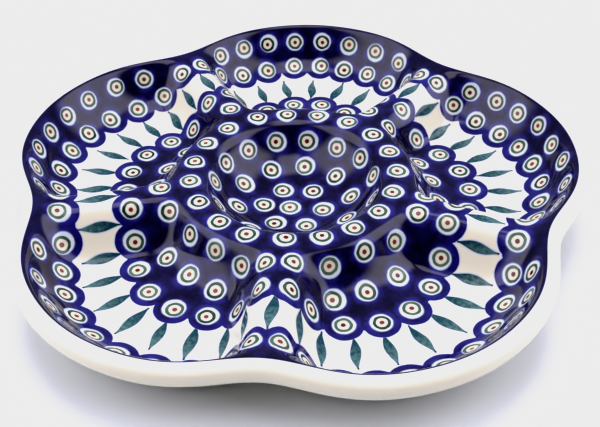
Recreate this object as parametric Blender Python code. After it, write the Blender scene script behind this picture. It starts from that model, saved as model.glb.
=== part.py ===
"""Divided serving tray of glazed stoneware: five petal dishes round a dip bowl.

Metres, +Z up.  The tray stands on z = 0 with the bowl's axis on the Z axis,
one petal towards +Y and one divider towards -Y.
"""
import math

import bmesh
import bpy
from mathutils import Vector

MM = 0.001

# Outline of the rim's crest line: a circle swelled into petals
PETALS = 5
RIM_RADIUS = 165.0 * MM
LOBE_SWELL = 9.65 * MM
LOBE_BLUNTING = 2.01 * MM
NOTCH_SOFTENING = 0.46 * MM
FIRST_LOBE = math.radians(90.0)

# Heights above the table
RIM_HEIGHT = 38.0 * MM
STAR_DROP = 5.0 * MM
STAR_HEIGHT = RIM_HEIGHT - STAR_DROP
FLOOR_THICKNESS = 7.4 * MM
BOWL_FLOOR = 4.6 * MM

# Wall thickness, measured level through a side wall and down through a top
WALL = 6.4 * MM
CROWN = 6.8 * MM

# Rolled bead round the rim
BEAD_OUT = 7.3 * MM
BEAD_UPPER = 6.8 * MM
BEAD_LOWER = 5.8 * MM
BEAD_FULLNESS = 0.9
BEAD_EDGE = math.radians(80.0)

# Level run of each slope, from its top to the floor, and how steep it starts
RIM_RUN = 44.0 * MM
RIM_ROUNDING = 5.0 * MM
RIDGE_FLAT = 4.1 * MM
RIDGE_RUN = 24.3 * MM
COLLAR_RUN = 35.0 * MM
COLLAR_ROUNDING = 2.6 * MM
STEEPNESS = 4.0

# Dip bowl: flat floor, hollow sweep of the wall, rounded lip
BOWL_FLAT = 16.6 * MM
BOWL_SWEEP = 37.9 * MM
BOWL_LIP = 10.2 * MM
BOWL_TURN = math.acos(1.0 - (STAR_HEIGHT - BOWL_FLOOR) / (BOWL_SWEEP + BOWL_LIP))
BOWL_BRIM = BOWL_FLAT + (BOWL_SWEEP + BOWL_LIP) * math.sin(BOWL_TURN)
COLLAR_SHOULDER = BOWL_BRIM + 12.0 * MM

# Seams between the pieces
SEAM_GAP = 0.3 * MM
BOWL_SEAM = BOWL_BRIM + 1.6 * MM
COLLAR_SEAM = COLLAR_SHOULDER + 7.0 * MM
DIVIDER_HALF = RIDGE_FLAT + 0.95 * RIDGE_RUN
LIP_SEAM = 4.9 * MM

# Mesh fineness
BOWL_AROUND = 40
BOWL_WALL_STEPS = 7
BOWL_LIP_STEPS = 4
COLLAR_AROUND = 60
COLLAR_STEPS = 6
PETAL_ACROSS = 14
PETAL_ALONG = 12
PETAL_CROWDING = 0.6
DIVIDER_ACROSS = 14
DIVIDER_ALONG = 9
LIP_ACROSS = 16
LIP_INNER_STEPS = 2
LIP_OUTER_STEPS = 5
HALVINGS = 40
WELD_DISTANCE = 0.001 * MM

COBALT = (0.014, 0.016, 0.120, 1.0)
WHITE_GLAZE = (0.780, 0.770, 0.740, 1.0)
GLAZE_ROUGHNESS = 0.12

SECTOR = 2.0 * math.pi / PETALS


def smooth_step(value):
    """Ease from 0 to 1 as value runs from 0 to 1."""
    held = min(max(value, 0.0), 1.0)
    return held * held * (3.0 - 2.0 * held)


def crest_radius(angle):
    """Radius of the rim's crest line."""
    turn = PETALS * (angle - FIRST_LOBE)
    swell = LOBE_SWELL * math.cos(turn)
    blunting = LOBE_BLUNTING * math.cos(2.0 * turn)
    softening = NOTCH_SOFTENING * math.cos(3.0 * turn)
    return RIM_RADIUS + swell - blunting + softening


def crest_slope(angle):
    """Change of the crest radius per radian."""
    turn = PETALS * (angle - FIRST_LOBE)
    swell = LOBE_SWELL * math.sin(turn)
    blunting = 2.0 * LOBE_BLUNTING * math.sin(2.0 * turn)
    softening = 3.0 * NOTCH_SOFTENING * math.sin(3.0 * turn)
    return PETALS * (blunting - swell - softening)


def crest_point(angle, inset):
    """Plan point a distance inset inside the crest line."""
    radius = crest_radius(angle)
    slope = crest_slope(angle)
    along = Vector((math.cos(angle), math.sin(angle)))
    aside = Vector((-math.sin(angle), math.cos(angle)))
    outward = (along * radius - aside * slope).normalized()
    return along * radius - outward * inset


def rim_inset(x, y):
    """Distance of a plan point inside the crest line."""
    angle = math.atan2(y, x)
    radius = crest_radius(angle)
    lean = math.atan2(crest_slope(angle), radius)
    return (radius - math.hypot(x, y)) * math.cos(lean)


def ridge_offset(x, y):
    """Distance of a plan point from the nearest divider's centre line."""
    turned = math.atan2(y, x) - FIRST_LOBE
    from_divider = turned % SECTOR - SECTOR / 2.0
    return math.hypot(x, y) * abs(math.sin(from_divider))


def swept_fall(share):
    """Share of a drop that starts steep and runs out level."""
    left = max(1.0 - share, 0.0)
    return 1.0 - left ** STEEPNESS


def rim_fall(inset):
    """Share of the drop from the rim's crest to the floor."""
    inside = max(inset, 0.0)
    softened = math.hypot(inside, RIM_ROUNDING) - RIM_ROUNDING
    return swept_fall(softened / RIM_RUN)


def collar_fall(distance):
    """Share of the drop from the collar to the floor, past its shoulder."""
    softened = (distance + math.hypot(distance, COLLAR_ROUNDING)) / 2.0
    return swept_fall(softened / COLLAR_RUN)


def falls(x, y, shift):
    """Rim's own fall and the joint fall of rim, ridge and collar."""
    rim = rim_fall(rim_inset(x, y) + shift)
    ridge = smooth_step((ridge_offset(x, y) + shift - RIDGE_FLAT) / RIDGE_RUN)
    collar = collar_fall(math.hypot(x, y) + shift - COLLAR_SHOULDER)
    return rim, rim * ridge * collar


def inner_height(x, y):
    """Height of the glazed upper surface."""
    rim, joint = falls(x, y, 0.0)
    crest = STAR_HEIGHT + STAR_DROP * (1.0 - rim)
    return FLOOR_THICKNESS + (crest - FLOOR_THICKNESS) * (1.0 - joint)


def under_height(x, y):
    """Height of the underside, which follows the walls and is hollow below ridges."""
    rim, joint = falls(x, y, WALL)
    hollow = STAR_HEIGHT - CROWN
    crest = hollow + (RIM_HEIGHT - hollow) * (1.0 - rim)
    return crest * (1.0 - joint)


def slab_point(plan):
    """Upper and lower point of the shell over one plan point."""
    upper = Vector((plan.x, plan.y, inner_height(plan.x, plan.y)))
    lower = Vector((plan.x, plan.y, under_height(plan.x, plan.y)))
    return upper, lower


def lip_point(angle, inner_inset, step):
    """Upper and lower point of the bead's section, from its seam outwards."""
    bead_base = RIM_HEIGHT - BEAD_UPPER - BEAD_LOWER
    if step <= LIP_INNER_STEPS:
        share = step / LIP_INNER_STEPS
        plan = crest_point(angle, inner_inset * (1.0 - share))
        upper, lower = slab_point(plan)
        seam = crest_point(angle, inner_inset)
        seam_base = under_height(seam.x, seam.y)
        lower.z = seam_base + (bead_base - seam_base) * share
        return upper, lower
    turn = BEAD_EDGE * (step - LIP_INNER_STEPS) / LIP_OUTER_STEPS
    out = BEAD_OUT * math.sin(turn) ** BEAD_FULLNESS
    rise = math.cos(turn) ** BEAD_FULLNESS
    plan = crest_point(angle, -out)
    waist = RIM_HEIGHT - BEAD_UPPER
    upper = Vector((plan.x, plan.y, waist + BEAD_UPPER * rise))
    lower = Vector((plan.x, plan.y, waist - BEAD_LOWER * rise))
    return upper, lower


def across_divider(angle, divider_angle, inset):
    """Sideways distance from a divider's centre line of a point inside the rim."""
    plan = crest_point(angle, inset)
    return plan.y * math.cos(divider_angle) - plan.x * math.sin(divider_angle)


def spread_at(half_width, inset):
    """Crest angle either side of a divider at which its seam lies half_width away."""
    divider_angle = FIRST_LOBE + SECTOR / 2.0
    low = 0.0
    high = SECTOR / 2.0
    for _ in range(HALVINGS):
        middle = (low + high) / 2.0
        if across_divider(divider_angle + middle, divider_angle, inset) < half_width:
            low = middle
        else:
            high = middle
    return low


def glaze(name, colour):
    """Glossy glaze for one piece."""
    material = bpy.data.materials.new(name + "_glaze")
    material.use_nodes = True
    shader = material.node_tree.nodes["Principled BSDF"]
    shader.inputs["Base Color"].default_value = colour
    shader.inputs["Roughness"].default_value = GLAZE_ROUGHNESS
    shader.inputs["Metallic"].default_value = 0.0
    return material


def add_piece(name, across, along, place, colour, turn=0.0):
    """Lay a grid over the upper surface, weld it and extrude it to the underside."""
    mesh_data = bmesh.new()
    bmesh.ops.create_grid(mesh_data, x_segments=across, y_segments=along, size=0.5)
    column = mesh_data.verts.layers.int.new("column")
    row = mesh_data.verts.layers.int.new("row")
    for vert in mesh_data.verts:
        vert[column] = round((vert.co.x + 0.5) * across)
        vert[row] = round((vert.co.y + 0.5) * along)
    for vert in mesh_data.verts:
        vert.co = place(vert[column], vert[row])[0]
    bmesh.ops.remove_doubles(mesh_data, verts=mesh_data.verts, dist=WELD_DISTANCE)
    extruded = bmesh.ops.extrude_face_region(
        mesh_data, geom=list(mesh_data.faces), use_keep_orig=True
    )
    for item in extruded["geom"]:
        if isinstance(item, bmesh.types.BMVert):
            item.co = place(item[column], item[row])[1]
    bmesh.ops.recalc_face_normals(mesh_data, faces=mesh_data.faces)
    for face in mesh_data.faces:
        face.smooth = True
    mesh = bpy.data.meshes.new(name)
    mesh_data.to_mesh(mesh)
    mesh_data.free()
    mesh.materials.append(glaze(name, colour))
    piece = bpy.data.objects.new(name, mesh)
    piece.rotation_euler.z = turn
    bpy.context.collection.objects.link(piece)
    return piece


def bowl_wall(row):
    """Inner reach, outer reach and outer height of the bowl's wall, and its climb."""
    if row == 0:
        return 0.0, 0.0, 0.0, 0.0
    turn = BOWL_TURN * (row - 1) / BOWL_WALL_STEPS
    outer_sweep = BOWL_SWEEP + WALL
    inner_reach = BOWL_FLAT + BOWL_SWEEP * math.sin(turn)
    outer_reach = BOWL_FLAT + outer_sweep * math.sin(turn)
    outer_height = max(BOWL_FLOOR + BOWL_SWEEP - outer_sweep * math.cos(turn), 0.0)
    climb = (1.0 - math.cos(turn)) / (1.0 - math.cos(BOWL_TURN))
    return inner_reach, outer_reach, outer_height, climb


def add_dip_bowl():
    """Round bowl in the middle, with its rounded lip and flat base."""
    seam = BOWL_SEAM - SEAM_GAP / 2.0
    wall_end = 1 + BOWL_WALL_STEPS
    lip_end = wall_end + BOWL_LIP_STEPS
    lip_height = BOWL_LIP * (1.0 - math.cos(BOWL_TURN))

    def place(column, row):
        angle = 2.0 * math.pi * (column % BOWL_AROUND) / BOWL_AROUND
        heading = Vector((math.cos(angle), math.sin(angle)))
        brim_height = inner_height(BOWL_BRIM * heading.x, BOWL_BRIM * heading.y)
        seam_base = under_height(seam * heading.x, seam * heading.y)
        if row <= wall_end:
            inner_reach, outer_reach, outer_height, climb = bowl_wall(row)
            inner_rise = (brim_height - lip_height - BOWL_FLOOR) * climb
            inner = BOWL_FLOOR + inner_rise
        elif row <= lip_end:
            share = (row - wall_end) / BOWL_LIP_STEPS
            turn = BOWL_TURN * (1.0 - share)
            inner_reach = BOWL_BRIM - BOWL_LIP * math.sin(turn)
            inner = brim_height - BOWL_LIP * (1.0 - math.cos(turn))
            wall_reach, wall_height = bowl_wall(wall_end)[1:3]
            outer_reach = wall_reach + (seam - wall_reach) * share / 2.0
            outer_height = wall_height + (seam_base - wall_height) * math.sin(math.pi / 2.0 * share)
        else:
            inner_reach = seam
            inner = inner_height(seam * heading.x, seam * heading.y)
            outer_reach = seam
            outer_height = seam_base
        upper = (heading * inner_reach).to_3d()
        lower = (heading * outer_reach).to_3d()
        upper.z = inner
        lower.z = outer_height
        return upper, lower

    return add_piece("dip_bowl", BOWL_AROUND, lip_end + 1, place, COBALT)


def add_collar():
    """Domed ring round the bowl, from which the dividers run out."""
    inner = BOWL_SEAM + SEAM_GAP / 2.0
    outer = COLLAR_SEAM - SEAM_GAP / 2.0

    def place(column, row):
        angle = 2.0 * math.pi * (column % COLLAR_AROUND) / COLLAR_AROUND
        radius = inner + (outer - inner) * row / COLLAR_STEPS
        return slab_point(Vector((math.cos(angle), math.sin(angle))) * radius)

    return add_piece("bowl_collar", COLLAR_AROUND, COLLAR_STEPS, place, COBALT)


def add_petal_dish(number):
    """One petal-shaped dish between two dividers, below the rim's bead."""
    half_width = DIVIDER_HALF + SEAM_GAP / 2.0
    inner = COLLAR_SEAM + SEAM_GAP / 2.0
    inset = LIP_SEAM + SEAM_GAP / 2.0
    inner_half = SECTOR / 2.0 - math.asin(half_width / inner)
    outer_half = SECTOR / 2.0 - spread_at(half_width, inset)

    def place(column, row):
        side = 2.0 * column / PETAL_ACROSS - 1.0
        start_angle = FIRST_LOBE + side * inner_half
        start = Vector((math.cos(start_angle), math.sin(start_angle))) * inner
        end = crest_point(FIRST_LOBE + side * outer_half, inset)
        share = row / PETAL_ALONG
        share += PETAL_CROWDING * (smooth_step(share) - share)
        return slab_point(start.lerp(end, share))

    name = "petal_dish_%d" % (number + 1)
    return add_piece(name, PETAL_ACROSS, PETAL_ALONG, place, WHITE_GLAZE, SECTOR * number)


def add_rim_lip(number):
    """Rolled bead along the outer edge of one petal."""
    half_width = DIVIDER_HALF + SEAM_GAP / 2.0
    inset = LIP_SEAM - SEAM_GAP / 2.0
    half = SECTOR / 2.0 - spread_at(half_width, inset)
    steps = LIP_INNER_STEPS + LIP_OUTER_STEPS

    def place(column, row):
        side = 2.0 * column / LIP_ACROSS - 1.0
        return lip_point(FIRST_LOBE + side * half, inset, row)

    name = "rim_lip_%d" % (number + 1)
    return add_piece(name, LIP_ACROSS, steps, place, WHITE_GLAZE, SECTOR * number)


def add_divider(number):
    """Rounded ridge from the collar out to one notch of the rim, hollow beneath."""
    divider_angle = FIRST_LOBE + SECTOR / 2.0
    half_width = DIVIDER_HALF - SEAM_GAP / 2.0
    inner = COLLAR_SEAM + SEAM_GAP / 2.0
    half = spread_at(half_width, LIP_SEAM)
    along = Vector((math.cos(divider_angle), math.sin(divider_angle)))
    aside = Vector((-along.y, along.x))
    steps = DIVIDER_ALONG + LIP_INNER_STEPS + LIP_OUTER_STEPS

    def place(column, row):
        side = 2.0 * column / DIVIDER_ACROSS - 1.0
        crest_angle = divider_angle + side * half
        if row > DIVIDER_ALONG:
            return lip_point(crest_angle, LIP_SEAM, row - DIVIDER_ALONG)
        end = crest_point(crest_angle, LIP_SEAM)
        offset = end.dot(aside)
        start = along * math.sqrt(inner ** 2 - offset ** 2) + aside * offset
        return slab_point(start.lerp(end, row / DIVIDER_ALONG))

    name = "divider_%d" % (number + 1)
    return add_piece(name, DIVIDER_ACROSS, steps, place, COBALT, SECTOR * number)


def build():
    """Clear the scene and add every piece of the tray."""
    for item in list(bpy.data.objects):
        bpy.data.objects.remove(item, do_unlink=True)
    pieces = [add_dip_bowl(), add_collar()]
    for number in range(PETALS):
        pieces.append(add_petal_dish(number))
        pieces.append(add_divider(number))
        pieces.append(add_rim_lip(number))
    tray_axis = bpy.data.objects.new("tray_axis", None)
    bpy.context.collection.objects.link(tray_axis)
    for piece in pieces:
        piece.parent = tray_axis


build()
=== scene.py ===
"""Divided serving tray of painted stoneware on a pale studio floor.

Every piece of the tray is laid as a fine shell over the same curves as its CAD
node.  The paint is stamped: rows of eyes and leaves are placed by rule on the
glazed surface, and each face carries its place on the nearest stamp.
"""
import math

import bpy
import numpy as np
from mathutils import Matrix, Vector


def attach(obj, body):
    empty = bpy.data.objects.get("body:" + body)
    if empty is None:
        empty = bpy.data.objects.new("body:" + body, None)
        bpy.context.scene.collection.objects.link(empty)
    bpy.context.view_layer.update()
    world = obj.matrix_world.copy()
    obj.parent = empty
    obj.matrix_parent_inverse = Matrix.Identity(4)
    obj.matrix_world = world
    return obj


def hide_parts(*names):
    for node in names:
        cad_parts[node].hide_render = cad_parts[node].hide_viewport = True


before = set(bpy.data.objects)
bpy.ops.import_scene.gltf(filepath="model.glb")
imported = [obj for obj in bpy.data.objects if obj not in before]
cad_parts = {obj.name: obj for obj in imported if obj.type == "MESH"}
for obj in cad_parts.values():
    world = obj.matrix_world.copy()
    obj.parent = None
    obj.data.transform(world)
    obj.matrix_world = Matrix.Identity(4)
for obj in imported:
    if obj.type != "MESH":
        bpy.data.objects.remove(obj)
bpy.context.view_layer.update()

MM = 0.001

# Outline of the rim's crest line
PETALS = 5
RIM_RADIUS = 165.0 * MM
LOBE_SWELL = 9.65 * MM
LOBE_BLUNTING = 2.01 * MM
NOTCH_SOFTENING = 0.46 * MM
FIRST_LOBE = math.radians(90.0)
SECTOR = 2.0 * math.pi / PETALS

# Heights, walls and runs of the shell
RIM_HEIGHT = 38.0 * MM
STAR_DROP = 5.0 * MM
STAR_HEIGHT = RIM_HEIGHT - STAR_DROP
FLOOR_THICKNESS = 7.4 * MM
WALL = 6.4 * MM
CROWN = 6.8 * MM
BEAD_OUT = 7.3 * MM
BEAD_UPPER = 6.8 * MM
BEAD_LOWER = 5.8 * MM
BEAD_FULLNESS = 0.9
RIM_RUN = 44.0 * MM
RIM_ROUNDING = 5.0 * MM
RIDGE_FLAT = 4.1 * MM
RIDGE_RUN = 24.3 * MM
COLLAR_RUN = 35.0 * MM
COLLAR_ROUNDING = 2.6 * MM
STEEPNESS = 4.0

# Dip bowl: flat floor, hollow sweep of the wall, rounded lip
BOWL_FLOOR = 4.6 * MM
BOWL_FLAT = 16.6 * MM
BOWL_SWEEP = 37.9 * MM
BOWL_LIP = 10.2 * MM
BOWL_TURN = math.acos(1.0 - (STAR_HEIGHT - BOWL_FLOOR) / (BOWL_SWEEP + BOWL_LIP))
BOWL_WALL_REACH = BOWL_FLAT + BOWL_SWEEP * math.sin(BOWL_TURN)
BOWL_BRIM = BOWL_FLAT + (BOWL_SWEEP + BOWL_LIP) * math.sin(BOWL_TURN)
SHOULDER_WIDTH = 12.0 * MM
COLLAR_SHOULDER = BOWL_BRIM + SHOULDER_WIDTH

# Seams, closed here so that the tray reads as one body
BRIM_WIDTH = 1.6 * MM
SKIRT_WIDTH = 7.0 * MM
RIDGE_SHARE = 0.95
BOWL_SEAM = BOWL_BRIM + BRIM_WIDTH
COLLAR_SEAM = COLLAR_SHOULDER + SKIRT_WIDTH
DIVIDER_HALF = RIDGE_FLAT + RIDGE_SHARE * RIDGE_RUN
LIP_SEAM = 4.9 * MM

# Mesh fineness
BOWL_AROUND = 400
BOWL_FLAT_STEPS = 14
BOWL_WALL_STEPS = 38
BOWL_LIP_STEPS = 10
BOWL_BRIM_STEPS = 2
COLLAR_AROUND = 400
COLLAR_STEPS = 18
PETAL_ACROSS = 120
PETAL_ALONG = 84
PETAL_CROWDING = 0.6
DIVIDER_ACROSS = 44
DIVIDER_ALONG = 62
LIP_ACROSS = 120
LIP_INNER_STEPS = 5
LIP_OUTER_STEPS = 12
SLOPE_STEP = 0.02 * MM
TURN_STEP = 1e-3
TINY = 1e-12
HALVINGS = 40

# Rows of stamped eyes: the row's line, then for each petal a count, the share spanned and a turn in degrees
EYE_RADIUS = 6.4 * MM
EYE_SIZE_SPREAD = 0.03
EYE_SHIFT = 0.6 * MM
RIM_ROW_INSET = 6.9 * MM
RIM_ROW_COUNTS = (8, 8, 8, 8, 8)
RIM_ROW_SPANS = (0.79, 0.79, 0.79, 0.79, 0.77)
RIM_ROW_TURNS = (2.0, 2.2, 2.0, 2.0, 2.2)
OUTER_CHAIN_INSET = 18.2 * MM
OUTER_CHAIN_DRIFT = 3.3 * MM
OUTER_CHAIN_SHARPNESS = 4
OUTER_CHAIN_COUNTS = (11, 10, 11, 11, 11)
OUTER_CHAIN_SPANS = (1.03, 1.01, 1.01, 1.0, 1.01)
OUTER_CHAIN_TURNS = (-1.5, 0.9, -1.3, -1.5, -1.6)
INNER_CHAIN_RADIUS = 104.8 * MM
INNER_CHAIN_SWELL = 7.0 * MM
INNER_CHAIN_COUNTS = (8, 8, 8, 8, 8)
INNER_CHAIN_SPANS = (1.0, 1.0, 1.0, 1.02, 1.02)
INNER_CHAIN_TURNS = (1.0, 0.2, -0.1, -0.8, -1.0)
SLOPE_ROW_RADIUS = 88.8 * MM
SLOPE_ROW_COUNTS = (3, 3, 3, 3, 3)
SLOPE_ROW_SPANS = (0.46, 0.46, 0.46, 0.46, 0.46)
SLOPE_ROW_TURNS = (0.0, 0.0, -1.0, -3.9, 0.0)
SHOULDER_ROW_RADIUS = 77.4 * MM
SHOULDER_ROW_SWELL = -3.0 * MM
SHOULDER_ROW_COUNTS = (4, 5, 5, 5, 5)
SHOULDER_ROW_SPANS = (1.04, 1.2, 0.95, 1.07, 1.0)
SHOULDER_ROW_TURNS = (-9.0, 0.0, 6.0, 0.8, -6.0)
COLLAR_ROW = (62.0 * MM, 19, math.radians(4.9))
BOWL_ROWS = (
    (48.6 * MM, 15, math.radians(13.0)),
    (35.9 * MM, 10, math.radians(12.4)),
    (18.5 * MM, 6, math.radians(-1.9)),
    (2.5 * MM, 1, math.radians(200.0)),
)
CURVE_SAMPLES = 2000

# Leaves between the two chains of eyes, with a lean in degrees for each petal
LEAF_COUNT = 10
LEAF_RADIUS = 125.0 * MM
LEAF_SWELL = 7.2 * MM
LEAF_BLUNTING = 0.7 * MM
LEAF_LENGTH = 25.0 * MM
LEAF_WIDTH = 5.8 * MM
LEAF_FAN = math.radians(12.0)
LEAF_LEANS = (-2.0, 1.0, 5.5, 3.5, 0.5)
LEAF_TURN_SPREAD = math.radians(3.0)
LEAF_SIZE_SPREAD = 0.08
LEAF_SPOTS = 5

# Stamp place of unpainted faces, and the height below which resting faces are bare clay
FAR_AWAY = 9.0
BARE_HEIGHT = 0.4 * MM
PAINT_SEED = 11

# Share of each baked map that the glazed side takes, and the corner left to the closing strips
BAKE_TOP = 0.68
BAKE_MARGIN = 0.02
BAKE_CORNER = 0.001

# Paint and clay colours
COBALT_DEEP = (0.008, 0.006, 0.021, 1.0)
COBALT_WASH = (0.036, 0.032, 0.166, 1.0)
COBALT_BRIGHT = (0.030, 0.028, 0.250, 1.0)
GLAZE_WHITE = (0.82, 0.775, 0.620, 1.0)
GLAZE_BLUED = (0.60, 0.63, 0.75, 1.0)
EYE_EDGE = (0.16, 0.18, 0.34, 1.0)
EYE_WHITE = (0.64, 0.70, 0.73, 1.0)
EYE_CREAM = (0.74, 0.68, 0.55, 1.0)
GREEN_DEEP = (0.008, 0.034, 0.021, 1.0)
GREEN_PALE = (0.120, 0.186, 0.130, 1.0)
PUPIL_DEEP = (0.090, 0.012, 0.005, 1.0)
PUPIL_PALE = (0.260, 0.075, 0.045, 1.0)
LEAF_DARK = (0.012, 0.038, 0.044, 1.0)
LEAF_DEEP = (0.013, 0.060, 0.074, 1.0)
LEAF_PALE = (0.105, 0.192, 0.178, 1.0)
CLAY_PALE = (0.62, 0.52, 0.40, 1.0)
CLAY_DARK = (0.45, 0.35, 0.25, 1.0)
FLOOR_PALE = (0.735, 0.765, 0.795, 1.0)
FLOOR_GREY = (0.695, 0.725, 0.755, 1.0)

# Detail of the cloudy patterns
SMOOTH = 1.0
CLOUDED = 2.0
GRAINY = 3.0
STREAKED = 4.0

# Stamped eye in eye radii: where each colour starts and is full, from the rim inwards
EYE_EDGE_FADE = (1.12, 1.02)
EYE_WHITE_FADE = (1.05, 0.94)
EYE_GREEN_FADE = (0.83, 0.77)
EYE_CREAM_FADE = (0.55, 0.49)
EYE_PUPIL_FADE = (0.26, 0.18)

# Least and most stray of an eye's parts from its centre, and the waver of their outlines
DISC_STRAY = (0.0, 0.0, 0.10)
RING_STRAY = (0.03, 0.18, 0.14)
PUPIL_STRAY = (0.05, 0.20, 0.10)
EYE_WAVER_SCALE = 260.0

# Strength of each eye's ink: share drawn for the whole eye, the rest uneven within it
INK_SHARE = 0.7
INK_SCALE = 150.0
INK_RANGE = (0.3, 0.7)

# Factors that make unlike draws of the one draw that each eye carries
SWING_FACTOR = 61.0
STRAY_FACTOR = 7.0
PUPIL_FACTOR = 13.0

# Brushed leaf: its outline in half widths and its shading along its half length
LEAF_ROOTED = 0.95
LEAF_POINTED = 1.5
LEAF_STEM = 0.10
LEAF_BEND = 0.045
LEAF_WAVER = 0.10
LEAF_WAVER_SCALE = 300.0
LEAF_END = 0.02
LEAF_FADE = (-0.16, -0.02)
LEAF_FRINGE = (-0.50, -0.16)
LEAF_SHADE_LEAN = 0.35
LEAF_SHADE_SCALE = 420.0
LEAF_SHADE_RANGE = (0.2, 0.9)
LEAF_TIP = (0.70, 0.95)

# Edge of the cobalt: scallops in eye radii, the paint's edge and fades in millimetres
SCALLOP = 1.74
SCALLOP_FILL = 0.55
SCALLOP_WAVER = 1.2
RIM_PAINT = 0.2
WHITE_FADE = (-0.2, 0.2)
BLUED_FADE = (1.0, 0.2)
MARGIN_FADE = (-4.0, -0.6)
MARGIN_SHARE = 0.45

# Brushed cobalt: wash and bright halo round each eye in eye radii, and how the brush thins them
REACH_WAVER = 0.20
REACH_WAVER_SCALE = 120.0
BRUSH_SCALE = 90.0
BRUSH_ROUGHNESS = 0.6
BRUSH_RANGE = (0.35, 0.68)
WASH_REACH = (1.75, 1.15)
WASH_LEVELS = (0.30, 1.0)
WASH_BRUSH = (0.15, 1.0)
HALO_REACH = (1.38, 1.06)
HALO_BRUSH = (0.10, 0.95)

# Glaze and bare clay
GLAZE_IOR = 1.5
GLAZE_ROUGHNESS = (0.04, 0.09)
GLOSS_SCALE = 60.0
GLAZE_RELIEF = 0.30 * MM
RELIEF_SCALE = 40.0
SPECKLE_SCALE = 900.0
SPECKLE_ROUGHNESS = 0.7
SPECKLE_RANGE = (0.35, 0.7)
CLAY_ROUGHNESS = (0.75, 0.9)
CLAY_RELIEF = 0.1 * MM
GRAIN_SCALE = 1500.0

# Floor, with a glow on its far part, past the reach of the softboxes
FLOOR_SIZE = 14.0
FLOOR_CELLS = 8
FLOOR_GAP = 0.1 * MM
FLOOR_CLOUD_SCALE = 3.0
FLOOR_ROUGHNESS = 0.9
FLOOR_SPECULAR = 0.1
FAR_FLOOR_START = 0.6
FAR_FLOOR_FULL = 1.7
FAR_FLOOR_GLOW = 0.50

# Dim room, dark on the camera's side, with a pale backdrop past the floor
FILL_STRENGTH = 0.33
FILL_COLOUR = (0.84, 0.86, 1.10, 1.0)
FILL_DARK = -0.35
FILL_FULL = 0.10
BACKDROP_STRENGTH = 0.95

# Softboxes: direction from the tray, width, depth and radiance
SOFTBOX_DISTANCE = 1.1
SOFTBOX_FADE = 0.25
SOFTBOX_COLOUR = (1.0, 0.965, 1.06)
LEFT_SOFTBOX = ((-0.74, -0.26, 0.62), 1.36, 1.60, 2.55)
RIGHT_SOFTBOX = ((0.82, 0.00, 0.57), 1.34, 1.46, 2.75)
TOP_SOFTBOX = ((0.05, -0.14, 1.0), 0.66, 1.00, 2.75)

# Even light from behind the tray, kept out of the glaze's reflections
BACK_LIGHT_FROM = (-0.05, 0.50, 0.85)
BACK_LIGHT_STRENGTH = 1.9
BACK_LIGHT_SPREAD = math.radians(42.0)

# Tone of the picture: blacks held down, whites held at one pale level
BLACK_LEVEL = 0.10
WHITE_LEVEL = 0.84
TONE_STEPS = 12
TONE_GAMMA = 2.2
COMBINED_CURVE = 3

# Camera, as lens, place and aim about the rim's plane
LENS = 54.78
SENSOR = 36.0
CAMERA_DISTANCE = 510.0 * MM
CAMERA_RISE = math.radians(39.85)
CAMERA_ROLL = math.radians(-0.68)
CAMERA_TURN = math.radians(5.69)
AIM_RIGHT = 3.3 * MM
AIM_BACK = -46.2 * MM


def smooth_step(value):
    """Ease from 0 to 1 as value runs from 0 to 1."""
    held = np.clip(value, 0.0, 1.0)
    return held * held * (3.0 - 2.0 * held)


def crest_radius(angle):
    """Radius of the rim's crest line."""
    turn = PETALS * (angle - FIRST_LOBE)
    swell = LOBE_SWELL * np.cos(turn)
    blunting = LOBE_BLUNTING * np.cos(2.0 * turn)
    softening = NOTCH_SOFTENING * np.cos(3.0 * turn)
    return RIM_RADIUS + swell - blunting + softening


def crest_slope(angle):
    """Change of the crest radius per radian."""
    turn = PETALS * (angle - FIRST_LOBE)
    swell = LOBE_SWELL * np.sin(turn)
    blunting = 2.0 * LOBE_BLUNTING * np.sin(2.0 * turn)
    softening = 3.0 * NOTCH_SOFTENING * np.sin(3.0 * turn)
    return PETALS * (blunting - swell - softening)


def heading(angle):
    """Unit plan vectors at these angles."""
    return np.stack((np.cos(angle), np.sin(angle)), axis=-1)


def crest_outward(angle):
    """Unit plan vectors square to the crest line, pointing outwards."""
    along = heading(angle)
    aside = heading(angle + math.pi / 2.0)
    radius = crest_radius(angle)[..., None]
    slope = crest_slope(angle)[..., None]
    outward = along * radius - aside * slope
    return outward / np.linalg.norm(outward, axis=-1, keepdims=True)


def crest_plan(angle, inset):
    """Plan points a distance inset inside the crest line."""
    angle, inset = np.broadcast_arrays(angle, inset)
    radius = crest_radius(angle)[..., None]
    return heading(angle) * radius - crest_outward(angle) * inset[..., None]


def axis_distance(plan):
    """Distance of plan points from the tray's axis."""
    return np.hypot(plan[..., 0], plan[..., 1])


def plan_angle(plan):
    """Angle of plan points about the tray's axis."""
    return np.arctan2(plan[..., 1], plan[..., 0])


def rim_inset(plan):
    """Distance of plan points inside the crest line."""
    angle = plan_angle(plan)
    radius = crest_radius(angle)
    lean = np.arctan2(crest_slope(angle), radius)
    return (radius - axis_distance(plan)) * np.cos(lean)


def ridge_offset(plan):
    """Distance of plan points from the nearest divider's centre line."""
    from_divider = (plan_angle(plan) - FIRST_LOBE) % SECTOR - SECTOR / 2.0
    return axis_distance(plan) * np.abs(np.sin(from_divider))


def swept_fall(share):
    """Share of a drop that starts steep and runs out level."""
    left = np.maximum(1.0 - share, 0.0)
    return 1.0 - left ** STEEPNESS


def rim_fall(inset):
    """Share of the drop from the rim's crest to the floor."""
    inside = np.maximum(inset, 0.0)
    softened = np.hypot(inside, RIM_ROUNDING) - RIM_ROUNDING
    return swept_fall(softened / RIM_RUN)


def collar_fall(distance):
    """Share of the drop from the collar to the floor, past its shoulder."""
    softened = (distance + np.hypot(distance, COLLAR_ROUNDING)) / 2.0
    return swept_fall(softened / COLLAR_RUN)


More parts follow.
